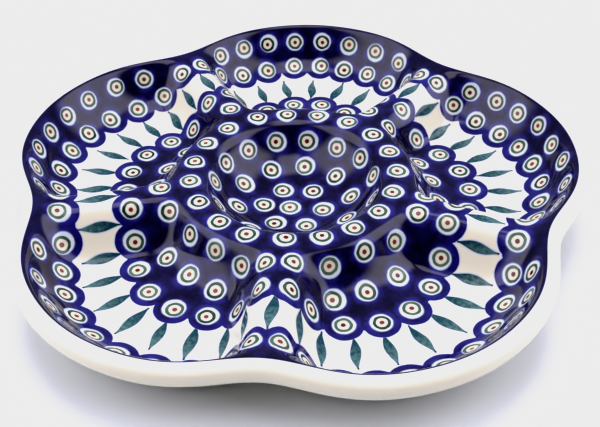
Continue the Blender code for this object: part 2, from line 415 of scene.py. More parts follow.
def falls(plan, shift):
    """Rim's own fall and the joint fall of rim, ridge and collar."""
    rim = rim_fall(rim_inset(plan) + shift)
    ridge = smooth_step((ridge_offset(plan) + shift - RIDGE_FLAT) / RIDGE_RUN)
    collar = collar_fall(axis_distance(plan) + shift - COLLAR_SHOULDER)
    return rim, rim * ridge * collar


def inner_height(plan):
    """Height of the glazed upper surface outside the bowl."""
    rim, joint = falls(plan, 0.0)
    crest = STAR_HEIGHT + STAR_DROP * (1.0 - rim)
    return FLOOR_THICKNESS + (crest - FLOOR_THICKNESS) * (1.0 - joint)


def under_height(plan):
    """Height of the underside, which is hollow below the ridges."""
    rim, joint = falls(plan, WALL)
    hollow = STAR_HEIGHT - CROWN
    crest = hollow + (RIM_HEIGHT - hollow) * (1.0 - rim)
    return crest * (1.0 - joint)


def lift(plan, height):
    """Plan points raised to a height."""
    return np.concatenate((plan, height[..., None]), axis=-1)


def unit(vectors):
    """Vectors brought to length one."""
    length = np.linalg.norm(vectors, axis=-1, keepdims=True)
    return vectors / np.maximum(length, TINY)


def slope_normals(plan, height_of):
    """Unit normals of a height field, from its slopes either side of each point."""
    slopes = []
    for axis in range(2):
        step = np.zeros(2)
        step[axis] = SLOPE_STEP
        rise = height_of(plan + step) - height_of(plan - step)
        slopes.append(-rise / (2.0 * SLOPE_STEP))
    upright = np.ones_like(slopes[0])
    return unit(np.stack((slopes[0], slopes[1], upright), axis=-1))


def grid_normals(points, wrap):
    """Unit normals of a grid of points, facing down."""
    if wrap:
        along_columns = np.roll(points, -1, axis=1) - np.roll(points, 1, axis=1)
    else:
        along_columns = np.gradient(points, axis=1)
    along_rows = np.gradient(points, axis=0)
    return unit(np.cross(along_columns, along_rows))


def bead_section(turn):
    """How far out the bead's section is and its rise, as shares of the whole."""
    out = np.sin(turn) ** BEAD_FULLNESS
    rise = np.maximum(np.cos(turn), 0.0) ** BEAD_FULLNESS
    return out, rise


def bead_normals(angle, turn, depth, side):
    """Unit normals of the bead's upper (side 1) or lower (side -1) face."""
    before = bead_section(np.maximum(turn - TURN_STEP, 0.0))
    after = bead_section(np.minimum(turn + TURN_STEP, math.pi / 2.0))
    outward_run = (after[0] - before[0]) * BEAD_OUT
    fall = (before[1] - after[1]) * depth
    plan = crest_outward(angle) * fall[..., None]
    return unit(lift(plan, outward_run * side))


def shell_rows(plan):
    """Upper points, lower points and upper normals of a plain part of the shell."""
    upper = lift(plan, inner_height(plan))
    lower = lift(plan, under_height(plan))
    return upper, lower, slope_normals(plan, inner_height)


def lip_rows(angle, inset):
    """Rows of the bead's section, from its seam out to its edge."""
    share = np.linspace(0.0, 1.0, LIP_INNER_STEPS + 1)[:, None]
    inner_plan = crest_plan(angle[None, :], inset * (1.0 - share))
    upper, lower, normals = shell_rows(inner_plan)
    seam_base = under_height(inner_plan[0])
    bead_base = RIM_HEIGHT - BEAD_UPPER - BEAD_LOWER
    lower[..., 2] = seam_base + (bead_base - seam_base) * share
    turn = np.linspace(0.0, math.pi / 2.0, LIP_OUTER_STEPS + 1)[1:, None]
    turn, angles = np.broadcast_arrays(turn, angle[None, :])
    out, rise = bead_section(turn)
    plan = crest_plan(angles, -BEAD_OUT * out)
    waist = RIM_HEIGHT - BEAD_UPPER
    outer_upper = lift(plan, waist + BEAD_UPPER * rise)
    outer_lower = lift(plan, waist - BEAD_LOWER * rise)
    outer_normals = bead_normals(angles, turn, BEAD_UPPER, 1.0)
    upper = np.concatenate((upper, outer_upper))
    lower = np.concatenate((lower, outer_lower))
    return upper, lower, np.concatenate((normals, outer_normals))


def spread_at(half_width, inset):
    """Crest angle either side of a divider at which its seam lies half_width away."""
    low = 0.0
    high = SECTOR / 2.0
    for _ in range(HALVINGS):
        middle = (low + high) / 2.0
        plan = crest_plan(np.array(FIRST_LOBE + middle - SECTOR / 2.0), np.array(inset))
        across = ridge_offset(plan)
        if across < half_width:
            low = middle
        else:
            high = middle
    return low


def turned(points, angle):
    """Points or vectors turned about the tray's axis."""
    turn = np.array(Matrix.Rotation(angle, 3, "Z"))
    return points @ turn.T


def bowl_height(plan):
    """Height of the bowl's inside, from its floor up the wall and over the lip."""
    radius = axis_distance(plan)
    outward = plan / np.maximum(radius, SLOPE_STEP)[..., None]
    brim_height = inner_height(outward * BOWL_BRIM)
    swept = np.clip((radius - BOWL_FLAT) / BOWL_SWEEP, 0.0, 1.0)
    climb = (1.0 - np.sqrt(1.0 - swept ** 2)) / (1.0 - math.cos(BOWL_TURN))
    lip_height = BOWL_LIP * (1.0 - math.cos(BOWL_TURN))
    wall = BOWL_FLOOR + (brim_height - lip_height - BOWL_FLOOR) * climb
    from_brim = np.clip(BOWL_BRIM - radius, 0.0, BOWL_LIP)
    lip = brim_height - BOWL_LIP + np.sqrt(BOWL_LIP ** 2 - from_brim ** 2)
    return np.where(radius < BOWL_WALL_REACH, wall, lip)


def painted_height(plan):
    """Height of the painted surface anywhere inside the rim."""
    in_bowl = axis_distance(plan) < BOWL_BRIM
    return np.where(in_bowl, bowl_height(plan), inner_height(plan))


def bowl_rows():
    """Rows of the bowl from its centre over the lip to its seam."""
    outward = heading(2.0 * math.pi * np.arange(BOWL_AROUND) / BOWL_AROUND)
    seam_base = under_height(outward * BOWL_SEAM)
    outer_sweep = BOWL_SWEEP + WALL
    outer_centre = BOWL_FLOOR + BOWL_SWEEP
    outer_end = BOWL_FLAT + outer_sweep * math.sin(BOWL_TURN)
    outer_top = outer_centre - outer_sweep * math.cos(BOWL_TURN)
    sections = []
    for share in np.linspace(0.0, 1.0, BOWL_FLAT_STEPS + 1)[:-1]:
        sections.append((BOWL_FLAT * share, BOWL_FLAT * share, 0.0 * seam_base))
    for turn in np.linspace(0.0, BOWL_TURN, BOWL_WALL_STEPS + 1):
        reach = BOWL_FLAT + BOWL_SWEEP * math.sin(turn)
        outer_reach = BOWL_FLAT + outer_sweep * math.sin(turn)
        outer_height = max(outer_centre - outer_sweep * math.cos(turn), 0.0)
        sections.append((reach, outer_reach, outer_height + 0.0 * seam_base))
    for share in np.linspace(0.0, 1.0, BOWL_LIP_STEPS + 1)[1:]:
        reach = BOWL_BRIM - BOWL_LIP * math.sin(BOWL_TURN * (1.0 - share))
        outer_reach = outer_end + (BOWL_SEAM - outer_end) * share / 2.0
        rise = math.sin(math.pi / 2.0 * share)
        sections.append((reach, outer_reach, outer_top + (seam_base - outer_top) * rise))
    for share in np.linspace(0.0, 1.0, BOWL_BRIM_STEPS + 1)[1:]:
        reach = BOWL_BRIM + (BOWL_SEAM - BOWL_BRIM) * share
        outer_reach = BOWL_SEAM + (outer_end - BOWL_SEAM) * (1.0 - share) / 2.0
        sections.append((reach, outer_reach, seam_base))
    inner, outer, outer_heights = (np.stack(column) for column in zip(*sections))
    plan = outward[None, :, :] * inner[:, None, None]
    upper = lift(plan, painted_height(plan))
    lower = lift(outward[None, :, :] * outer[:, None, None], outer_heights)
    return upper, lower, slope_normals(plan, painted_height)


def collar_rows():
    """Rows of the collar from the bowl's seam to the petals' seam."""
    angle = 2.0 * math.pi * np.arange(COLLAR_AROUND) / COLLAR_AROUND
    radius = np.linspace(BOWL_SEAM, COLLAR_SEAM, COLLAR_STEPS + 1)
    return shell_rows(heading(angle)[None, :, :] * radius[:, None, None])


def petal_rows():
    """Rows of the first petal dish, from the collar's seam to the bead's."""
    side = np.linspace(-1.0, 1.0, PETAL_ACROSS + 1)
    inner_half = SECTOR / 2.0 - math.asin(DIVIDER_HALF / COLLAR_SEAM)
    outer_half = SECTOR / 2.0 - spread_at(DIVIDER_HALF, LIP_SEAM)
    start = heading(FIRST_LOBE + side * inner_half) * COLLAR_SEAM
    end = crest_plan(FIRST_LOBE + side * outer_half, LIP_SEAM)
    share = np.linspace(0.0, 1.0, PETAL_ALONG + 1)[:, None, None]
    share = share + PETAL_CROWDING * (smooth_step(share) - share)
    return shell_rows(start * (1.0 - share) + end * share)


def rim_lip_rows():
    """Rows of the bead along the first petal."""
    side = np.linspace(-1.0, 1.0, LIP_ACROSS + 1)
    half = SECTOR / 2.0 - spread_at(DIVIDER_HALF, LIP_SEAM)
    return lip_rows(FIRST_LOBE + side * half, LIP_SEAM)


def divider_rows():
    """Rows of the first divider, from the collar's seam out over the bead."""
    middle = FIRST_LOBE + SECTOR / 2.0
    side = np.linspace(-1.0, 1.0, DIVIDER_ACROSS + 1)
    crest_angle = middle + side * spread_at(DIVIDER_HALF, LIP_SEAM)
    end = crest_plan(crest_angle, LIP_SEAM)
    along = heading(np.array(middle))
    aside = heading(np.array(middle + math.pi / 2.0))
    offset = end @ aside
    reach = np.sqrt(COLLAR_SEAM ** 2 - offset ** 2)
    start = reach[:, None] * along + offset[:, None] * aside
    share = np.linspace(0.0, 1.0, DIVIDER_ALONG + 1)[:-1, None, None]
    ridge = shell_rows(start * (1.0 - share) + end * share)
    lip = lip_rows(crest_angle, LIP_SEAM)
    return tuple(np.concatenate(pair) for pair in zip(ridge, lip))


class Stamps:
    """Centres and frames of the stamps of one kind."""

    def __init__(self):
        self.centre = []
        self.across = []
        self.along = []
        self.size = []
        self.chained = []

    def add(self, plan, toward, size, chained):
        """Stamp at a plan point, with its long axis towards a plan direction."""
        centre = lift(plan, painted_height(plan))
        ahead = lift(plan + toward * SLOPE_STEP, painted_height(plan + toward * SLOPE_STEP))
        along = unit(ahead - centre)
        normal = slope_normals(plan, painted_height)
        self.centre.append(centre)
        self.along.append(along)
        self.across.append(np.cross(along, normal))
        self.size.append(size)
        self.chained.append(chained)

    def finish(self):
        """Turn the lists into arrays."""
        for name in ("centre", "across", "along", "size", "chained"):
            setattr(self, name, np.array(getattr(self, name)))


def spaced(curve, count, span, start=0.5):
    """Angles that share out a curve over one petal evenly by its length on the surface."""
    angle = np.linspace(-SECTOR / 2.0, SECTOR / 2.0, CURVE_SAMPLES + 1)
    plan = curve(FIRST_LOBE + angle)
    points = lift(plan, painted_height(plan))
    step = np.linalg.norm(np.diff(points, axis=0), axis=-1)
    length = np.concatenate(((0.0,), np.cumsum(step)))
    place = 0.5 + span * ((np.arange(count) + start) / count - 0.5)
    return np.interp(place * length[-1], length, angle)


def swelled_curve(radius, swell, blunting=0.0):
    """Plan curve round the axis that swells with the petals."""

    def curve(angle):
        turn = PETALS * (angle - FIRST_LOBE)
        distance = radius + swell * np.cos(turn) - blunting * np.cos(2.0 * turn)
        return heading(angle) * distance[..., None]

    return curve


def chain_inset(angle):
    """How far inside the rim the outer chain runs, closer to it over the dividers."""
    to_divider = (1.0 - np.cos(PETALS * (angle - FIRST_LOBE))) / 2.0
    return OUTER_CHAIN_INSET - OUTER_CHAIN_DRIFT * to_divider ** OUTER_CHAIN_SHARPNESS


def rim_curve(angle):
    """Plan curve of the row under the rim's crest."""
    return crest_plan(angle, RIM_ROW_INSET)


def outer_chain(angle):
    """Plan curve of the outer chain."""
    return crest_plan(angle, chain_inset(angle))


inner_chain = swelled_curve(INNER_CHAIN_RADIUS, INNER_CHAIN_SWELL)


def place_eyes(draw):
    """Rows of eyes over the whole tray."""
    eyes = Stamps()
    slope_curve = swelled_curve(SLOPE_ROW_RADIUS, 0.0)
    shoulder_curve = swelled_curve(SHOULDER_ROW_RADIUS, SHOULDER_ROW_SWELL)
    rows = (
        (rim_curve, RIM_ROW_COUNTS, RIM_ROW_SPANS, RIM_ROW_TURNS, 0.0),
        (outer_chain, OUTER_CHAIN_COUNTS, OUTER_CHAIN_SPANS, OUTER_CHAIN_TURNS, 1.0),
        (inner_chain, INNER_CHAIN_COUNTS, INNER_CHAIN_SPANS, INNER_CHAIN_TURNS, 1.0),
        (slope_curve, SLOPE_ROW_COUNTS, SLOPE_ROW_SPANS, SLOPE_ROW_TURNS, 0.0),
        (shoulder_curve, SHOULDER_ROW_COUNTS, SHOULDER_ROW_SPANS, SHOULDER_ROW_TURNS, 0.0),
    )

    def stamp(plan, angle, chained):
        shift = draw.uniform(-EYE_SHIFT, EYE_SHIFT, 2)
        size = EYE_RADIUS * (1.0 + draw.uniform(-EYE_SIZE_SPREAD, EYE_SIZE_SPREAD))
        eyes.add(plan + shift, heading(angle), size, chained)

    for curve, counts, spans, turns, chained in rows:
        for petal in range(PETALS):
            places = spaced(curve, counts[petal], spans[petal])
            shifts = math.radians(turns[petal]) * np.cos(PETALS / 2.0 * places)
            for angle in FIRST_LOBE + SECTOR * petal + places + shifts:
                stamp(curve(np.array(angle)), np.array(angle), chained)
    for radius, count, first in (COLLAR_ROW,) + BOWL_ROWS:
        for number in range(count):
            angle = np.array(first + 2.0 * math.pi * number / count)
            stamp(heading(angle) * radius, angle, 0.0)
    eyes.finish()
    return eyes


def place_leaves(draw):
    """One ring of leaves between the two chains of eyes, one on each divider's crest."""
    leaves = Stamps()
    curve = swelled_curve(LEAF_RADIUS, LEAF_SWELL, LEAF_BLUNTING)
    for petal in range(PETALS):
        for angle in spaced(curve, LEAF_COUNT, 1.0, start=0.0):
            place = np.array(FIRST_LOBE + SECTOR * petal + angle)
            fan = LEAF_FAN * math.sin(PETALS * angle)
            lean = math.radians(LEAF_LEANS[petal]) * math.cos(PETALS / 2.0 * angle)
            lean += draw.uniform(-LEAF_TURN_SPREAD, LEAF_TURN_SPREAD)
            size = LEAF_LENGTH / 2.0 * (1.0 + draw.uniform(-LEAF_SIZE_SPREAD, LEAF_SIZE_SPREAD))
            leaves.add(curve(place), heading(place + fan + lean), size, 0.0)
    leaves.finish()
    return leaves


def nearest(points, spots):
    """Number of the spot nearest to each point."""
    best = np.zeros(len(points), int)
    least = np.full(len(points), np.inf)
    for number, spot in enumerate(spots):
        distance = np.sum((points - spot) ** 2, axis=1)
        closer = distance < least
        best[closer] = number
        least[closer] = distance[closer]
    return best


def stamp_places(corners, stamps, chosen):
    """Places of face corners across and along their chosen stamps, in stamp sizes."""
    reach = corners - stamps.centre[chosen]
    across = np.sum(reach * stamps.across[chosen], axis=-1)
    along = np.sum(reach * stamps.along[chosen], axis=-1)
    flat = np.stack((across, along), axis=-1)
    stretch = np.linalg.norm(reach, axis=-1) / np.maximum(np.hypot(across, along), TINY)
    return flat * (stretch / stamps.size[chosen])[:, None]


def white_edge(points):
    """How far points lie past the scalloped edges of the cobalt, into the white."""
    chained = eyes.chained > 0.0
    centres = eyes.centre[chained]
    sizes = eyes.size[chained]
    eye = nearest(points, centres)
    past_eye = np.linalg.norm(points - centres[eye], axis=-1) - SCALLOP * sizes[eye]
    plan = points[:, :2]
    past_inner = axis_distance(plan) - axis_distance(inner_chain(plan_angle(plan)))
    past_outer = rim_inset(plan) - chain_inset(plan_angle(plan))
    past_chains = np.minimum(past_inner, past_outer) - SCALLOP_FILL * EYE_RADIUS
    return np.minimum(past_eye, past_chains)


def leaf_spots(leaves):
    """Points along every leaf, in order, LEAF_SPOTS to a leaf."""
    share = np.linspace(-1.0, 1.0, LEAF_SPOTS)
    reach = leaves.along[:, None, :] * (leaves.size[:, None] * share)[:, :, None]
    return (leaves.centre[:, None, :] + reach).reshape(-1, 3)


def set_layer(mesh, name, domain, values):
    """Store one number for each face or corner."""
    layer = mesh.attributes.new(name, "FLOAT", domain)
    layer.data.foreach_set("value", np.ascontiguousarray(values, np.float32).ravel())


def set_map(mesh, name, values):
    """Store a pair of numbers for each corner."""
    layer = mesh.uv_layers.new(name=name, do_init=False)
    layer.data.foreach_set("uv", np.ascontiguousarray(values, np.float32).ravel())


def strip(first, second, third, fourth):
    """Quads from four equal grids of corners."""
    return np.stack((first, second, third, fourth), axis=-1).reshape(-1, 4)


def between(grid):
    """A grid's corners taken round each of its cells."""
    return strip(grid[:-1, :-1], grid[1:, :-1], grid[1:, 1:], grid[:-1, 1:])


def edge_quads(top, base, wrap, pole, joined):
    """Quads that close a shell between the borders of its two grids."""
    quads = [np.zeros((0, 4), int)]
    if not pole:
        quads.append(strip(top[0, :-1], top[0, 1:], base[0, 1:], base[0, :-1]))
    if not joined:
        quads.append(strip(top[-1, 1:], top[-1, :-1], base[-1, :-1], base[-1, 1:]))
    if not wrap:
        quads.append(strip(top[1:, 0], top[:-1, 0], base[:-1, 0], base[1:, 0]))
        quads.append(strip(top[:-1, -1], top[1:, -1], base[1:, -1], base[:-1, -1]))
    return np.concatenate(quads)


def bake_places(rows, columns, folds):
    """Places of the upper grid's cells on a square map, cut into strips that fill it."""
    column = np.arange(columns)
    row = np.linspace(0.0, 1.0, rows + 1)
    strip_length = columns // folds
    fold = np.minimum(column // strip_length, folds - 1)
    left = (column - fold * strip_length) / strip_length
    right = left + 1.0 / strip_length
    low = (fold[None, :] + row[:-1, None]) / folds
    high = (fold[None, :] + row[1:, None]) / folds
    left = np.broadcast_to(left, low.shape)
    right = np.broadcast_to(right, low.shape)
    places = np.stack(
        (
            np.stack((left, low), axis=-1),
            np.stack((left, high), axis=-1),
            np.stack((right, high), axis=-1),
            np.stack((right, low), axis=-1),
        ),
        axis=2,
    )
    return places.reshape(-1, 4, 2)


def shell_bake_places(count, cells, rows, folds):
    """Places of a shell's face corners on its baked map: upper cells, lower cells, closing strips."""
    places = np.full((count, 4, 2), BAKE_CORNER)
    cell_places = bake_places(rows - 1, cells // (rows - 1), folds)
    places[:cells] = cell_places * (1.0, BAKE_TOP) + (0.0, 1.0 - BAKE_TOP)
    places[cells:2 * cells] = cell_places[:, ::-1] * (1.0, 1.0 - BAKE_TOP - BAKE_MARGIN)
    return places


def shell_quads(rows, columns, wrap, pole, joined):
    """Quads of a shell's upper cells, lower cells and closing strips, and the count of upper cells."""
    count = rows * columns
    top = np.arange(count).reshape(rows, columns)
    base = top + count
    if pole:
        top[0, :] = 0
        base[0, :] = count
    if joined:
        base[-1, :] = top[-1, :]
    if wrap:
        top = np.concatenate((top, top[:, :1]), axis=1)
        base = np.concatenate((base, base[:, :1]), axis=1)
    upper = between(top)
    lower = between(base)[:, ::-1]
    strips = edge_quads(top, base, wrap, pole, joined)
    return np.concatenate((upper, lower, strips)), len(upper)


def set_paint(mesh, corners, corner_face, centres, underside):
    """Store each corner's place on the nearest stamps and its distance from the paint's edges."""
    eye = nearest(centres, eyes.centre)
    leaf = nearest(centres, leaf_spots(leaves)) // LEAF_SPOTS
    eye_places = stamp_places(corners, eyes, eye[corner_face])
    leaf_places = stamp_places(corners, leaves, leaf[corner_face])
    eye_places[underside] = FAR_AWAY
    leaf_places[underside] = FAR_AWAY
    inset = np.where(underside, -RIM_RUN, rim_inset(corners[:, :2]))
    edge = np.where(underside, -RIM_RUN, white_edge(corners))
    set_map(mesh, "eye", eye_places)
    set_map(mesh, "leaf", leaf_places)
    set_layer(mesh, "inset", "CORNER", inset / MM)
    set_layer(mesh, "white_edge", "CORNER", edge / MM)
    set_layer(mesh, "eye_draw", "FACE", eye_draw[eye])
    set_layer(mesh, "leaf_draw", "FACE", leaf_draw[leaf])


def add_shell(node, grids, angle, wrap=False, pole=False, joined=False, folds=1):
    """One closed piece of the tray, with its normals and its places on the paint."""
    upper, lower, upper_normals = (turned(grid, angle) for grid in grids)
    lower_normals = grid_normals(lower, wrap)
    if joined:
        lower_normals[-1] = upper_normals[-1]
    if pole:
        lower_normals[0] = (0.0, 0.0, -1.0)
    rows, columns = upper.shape[:2]
    quads, cells = shell_quads(rows, columns, wrap, pole, joined)
    points = np.concatenate((upper.reshape(-1, 3), lower.reshape(-1, 3)))
    normals = np.concatenate((upper_normals.reshape(-1, 3), lower_normals.reshape(-1, 3)))

    # Corners that a pole or a joined border leaves doubled are dropped from their faces
    kept = quads != np.roll(quads, 1, axis=1)
    corner_point = quads[kept]
    corner_face = np.repeat(np.arange(len(quads)), 4).reshape(-1, 4)[kept]
    used, renumbered = np.unique(corner_point, return_inverse=True)
    faces = np.split(renumbered, np.cumsum(kept.sum(axis=1))[:-1])
    mesh = bpy.data.meshes.new(node + "_visual")
    mesh.from_pydata(points[used].tolist(), [], [face.tolist() for face in faces])

    on_edge = corner_face >= 2 * cells
    underside = (corner_face >= cells) & ~on_edge
    spans = points[quads]
    centres = spans.mean(axis=1)
    flat = unit(np.cross(spans[:, 2] - spans[:, 0], spans[:, 3] - spans[:, 1]))
    corner_normals = np.where(on_edge[:, None], flat[corner_face], normals[corner_point])
    mesh.polygons.foreach_set("use_smooth", np.ones(len(quads), bool))
    mesh.normals_split_custom_set(corner_normals.tolist())
    set_paint(mesh, points[corner_point], corner_face, centres, underside)
    set_map(mesh, "OFBake", shell_bake_places(len(quads), cells, rows, folds)[kept])

    mesh.materials.append(painted_glaze)
    mesh.materials.append(bare_stoneware)
    below = np.arange(len(quads)) >= cells
    resting = (centres[:, 2] < BARE_HEIGHT) & below
    mesh.polygons.foreach_set("material_index", resting.astype(np.int32))
    mesh.update()
    piece = bpy.data.objects.new(node + "_visual", mesh)
    bpy.context.collection.objects.link(piece)
    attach(piece, "root")
    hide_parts(node)


class Nodes:
    """Short calls for building one node tree."""

    # Sockets of the mix node that carry colours
    FIRST_COLOUR = 6
    SECOND_COLOUR = 7
    MIXED_COLOUR = 2

    def __init__(self, owner):
        owner.use_nodes = True
        self.tree = owner.node_tree
        self.shader = self.tree.nodes.get("Principled BSDF")

    def join(self, value, socket):
        """Put a number, a colour or another node's output into a socket."""
        if isinstance(value, bpy.types.NodeSocket):
            self.tree.links.new(value, socket)
        else:
            socket.default_value = value

    def add(self, kind, **settings):
        """New node with its settings."""
        node = self.tree.nodes.new(kind)
        for name, value in settings.items():
            setattr(node, name, value)
        return node

    def math(self, operation, first, second=0.0, third=0.0):
        """One step of arithmetic."""
        node = self.add("ShaderNodeMath", operation=operation)
        for value, socket in zip((first, second, third), node.inputs):
            self.join(value, socket)
        return node.outputs[0]

    def product(self, first, second):
        """Product of two numbers."""
        return self.math("MULTIPLY", first, second)

    def length(self, across, along):
        """Length of a plan vector."""
        squares = self.math("ADD", self.product(across, across), self.product(along, along))
        return self.math("SQRT", squares)

    def ease(self, value, low, high):
        """0 below low, 1 above high, eased between."""
        node = self.add("ShaderNodeMapRange", interpolation_type="SMOOTHSTEP")
        self.join(value, node.inputs["Value"])
        self.join(low, node.inputs["From Min"])
        self.join(high, node.inputs["From Max"])
        return node.outputs["Result"]

    def fit(self, value, low, high):
        """Value from 0 to 1 spread between low and high."""
        node = self.add("ShaderNodeMapRange")
        self.join(value, node.inputs["Value"])
        self.join(low, node.inputs["To Min"])
        self.join(high, node.inputs["To Max"])
        return node.outputs["Result"]

    def mix(self, share, first, second):
        """Colour between two colours."""
        node = self.add("ShaderNodeMix", data_type="RGBA", clamp_factor=True)
        self.join(share, node.inputs["Factor"])
        self.join(first, node.inputs[self.FIRST_COLOUR])
        self.join(second, node.inputs[self.SECOND_COLOUR])
        return node.outputs[self.MIXED_COLOUR]

    def layer(self, name):
        """A number stored on the mesh."""
        return self.add("ShaderNodeAttribute", attribute_name=name).outputs["Fac"]

    def place(self, name):
        """The pair of numbers of a stored map."""
        source = self.add("ShaderNodeUVMap", uv_map=name)
        split = self.add("ShaderNodeSeparateXYZ")
        self.join(source.outputs["UV"], split.inputs[0])
        return split.outputs[0], split.outputs[1]

    def noise(self, scale, detail, roughness=0.5):
        """Cloudy pattern fixed to the object."""
        source = self.add("ShaderNodeTexCoord")
        node = self.add("ShaderNodeTexNoise")
        self.join(source.outputs["Object"], node.inputs["Vector"])
        self.join(scale, node.inputs["Scale"])
        self.join(detail, node.inputs["Detail"])
        self.join(roughness, node.inputs["Roughness"])
        return node.outputs["Fac"]

    def waver(self, scale, detail):
        """Cloudy pattern about zero."""
        return self.math("SUBTRACT", self.noise(scale, detail), 0.5)

    def bump(self, height, depth):
        """Normals of a shallow relief."""
        node = self.add("ShaderNodeBump")
        self.join(1.0, node.inputs["Strength"])
        self.join(depth, node.inputs["Distance"])
        self.join(height, node.inputs["Height"])
        return node.outputs["Normal"]


def paint_eye(nodes, below):
    """A stamped eye over the colour below it, its ring and pupil a little off centre."""
    across, along = nodes.place("eye")
    draw = nodes.layer("eye_draw")
    wobble = nodes.waver(EYE_WAVER_SCALE, SMOOTH)
    swing = nodes.product(draw, SWING_FACTOR)
    stray = nodes.math("FRACT", nodes.product(draw, STRAY_FACTOR))

    def from_centre(least, most, waver):
        shift = nodes.fit(stray, least, most)
        aside = nodes.product(nodes.math("COSINE", swing), shift)
        ahead = nodes.product(nodes.math("SINE", swing), shift)
        x = nodes.math("SUBTRACT", across, aside)
        y = nodes.math("SUBTRACT", along, ahead)
        return nodes.math("MULTIPLY_ADD", wobble, waver, nodes.length(x, y))

    disc = from_centre(*DISC_STRAY)
    ring = from_centre(*RING_STRAY)
    pupil = from_centre(*PUPIL_STRAY)
    uneven = nodes.ease(nodes.noise(INK_SCALE, CLOUDED), *INK_RANGE)
    strength = nodes.math("MULTIPLY_ADD", draw, INK_SHARE, nodes.product(uneven, 1.0 - INK_SHARE))
    green = nodes.mix(strength, GREEN_PALE, GREEN_DEEP)
    dab = nodes.math("FRACT", nodes.product(draw, PUPIL_FACTOR))
    red = nodes.mix(dab, PUPIL_PALE, PUPIL_DEEP)
    colour = nodes.mix(nodes.ease(disc, *EYE_EDGE_FADE), below, EYE_EDGE)
    colour = nodes.mix(nodes.ease(disc, *EYE_WHITE_FADE), colour, EYE_WHITE)
    colour = nodes.mix(nodes.ease(ring, *EYE_GREEN_FADE), colour, green)
    colour = nodes.mix(nodes.ease(ring, *EYE_CREAM_FADE), colour, EYE_CREAM)
    return nodes.mix(nodes.ease(pupil, *EYE_PUPIL_FADE), colour, red)


def paint_leaf(nodes, below):
    """A brushed leaf over the colour below it, with a thin stem at its root."""
    across, along = nodes.place("leaf")
    wobble = nodes.waver(LEAF_WAVER_SCALE, SMOOTH)
    way = nodes.math("MULTIPLY_ADD", along, 0.5, 0.5)
    held = nodes.math("MINIMUM", nodes.math("MAXIMUM", way, 0.0), 1.0)
    rooted = nodes.math("POWER", held, LEAF_ROOTED)
    swell = nodes.math("SINE", nodes.product(rooted, math.pi))
    body = nodes.math("POWER", nodes.math("MAXIMUM", swell, 0.0), LEAF_POINTED)
    belly = nodes.math("MAXIMUM", body, LEAF_STEM)
    turn = nodes.math("MULTIPLY_ADD", nodes.layer("leaf_draw"), 2.0, -1.0)
    wave = nodes.math("SINE", nodes.product(held, 2.0 * math.pi))
    bend = nodes.product(wave, turn)
    centred = nodes.math("MULTIPLY_ADD", bend, LEAF_BEND, across)
    aside = nodes.math("ABSOLUTE", nodes.product(centred, LEAF_LENGTH / LEAF_WIDTH))
    outline = nodes.math("MULTIPLY_ADD", wobble, LEAF_WAVER, belly)
    room = nodes.math("SUBTRACT", outline, aside)
    from_middle = nodes.math("ABSOLUTE", along)
    drawn = nodes.ease(nodes.math("SUBTRACT", 1.0, from_middle), 0.0, LEAF_END)
    within = nodes.product(nodes.ease(room, *LEAF_FADE), drawn)
    fringe = nodes.product(nodes.ease(room, *LEAF_FRINGE), drawn)
    below = nodes.mix(fringe, below, GLAZE_BLUED)
    cloud = nodes.noise(LEAF_SHADE_SCALE, CLOUDED)
    shade = nodes.math("MULTIPLY_ADD", along, LEAF_SHADE_LEAN, cloud)
    green = nodes.mix(nodes.ease(shade, *LEAF_SHADE_RANGE), LEAF_DEEP, LEAF_PALE)
    tip = nodes.ease(from_middle, *LEAF_TIP)
    return nodes.mix(within, below, nodes.mix(tip, green, LEAF_DARK))


def paint_ground(nodes):
    """Cobalt with scalloped edges against the white glaze, and the share of white."""
    wobble = nodes.waver(REACH_WAVER_SCALE, CLOUDED)
    reach = nodes.math("MULTIPLY_ADD", wobble, REACH_WAVER, nodes.length(*nodes.place("eye")))
    past_scallop = nodes.math("MULTIPLY_ADD", wobble, SCALLOP_WAVER, nodes.layer("white_edge"))
    past_rim = nodes.math("SUBTRACT", RIM_PAINT, nodes.layer("inset"))
    past_edge = nodes.math("MAXIMUM", past_scallop, past_rim)
    white = nodes.ease(past_edge, *WHITE_FADE)
    glaze = nodes.mix(nodes.ease(past_edge, *BLUED_FADE), GLAZE_WHITE, GLAZE_BLUED)
    brush = nodes.ease(nodes.noise(BRUSH_SCALE, STREAKED, BRUSH_ROUGHNESS), *BRUSH_RANGE)
    near_eye = nodes.fit(nodes.ease(reach, *WASH_REACH), *WASH_LEVELS)
    wash = nodes.product(near_eye, nodes.fit(brush, *WASH_BRUSH))
    cobalt = nodes.mix(wash, COBALT_DEEP, COBALT_WASH)
    ring = nodes.product(nodes.ease(reach, *HALO_REACH), nodes.fit(brush, *HALO_BRUSH))
    margin = nodes.product(nodes.ease(past_scallop, *MARGIN_FADE), MARGIN_SHARE)
    halo = nodes.math("MAXIMUM", ring, margin)
    cobalt = nodes.mix(halo, cobalt, COBALT_BRIGHT)
    return nodes.mix(white, cobalt, glaze), white


def make_painted_glaze():
    """Clear glossy glaze over the painted body."""
    material = bpy.data.materials.new("painted_glaze")
    nodes = Nodes(material)
    ground, white = paint_ground(nodes)
    leafed = nodes.mix(white, ground, paint_leaf(nodes, ground))
    nodes.join(paint_eye(nodes, leafed), nodes.shader.inputs["Base Color"])
    gloss = nodes.fit(nodes.noise(GLOSS_SCALE, CLOUDED), *GLAZE_ROUGHNESS)
    nodes.join(gloss, nodes.shader.inputs["Roughness"])
    relief = nodes.bump(nodes.noise(RELIEF_SCALE, SMOOTH), GLAZE_RELIEF)
    nodes.join(relief, nodes.shader.inputs["Normal"])
    nodes.shader.inputs["IOR"].default_value = GLAZE_IOR
    return material


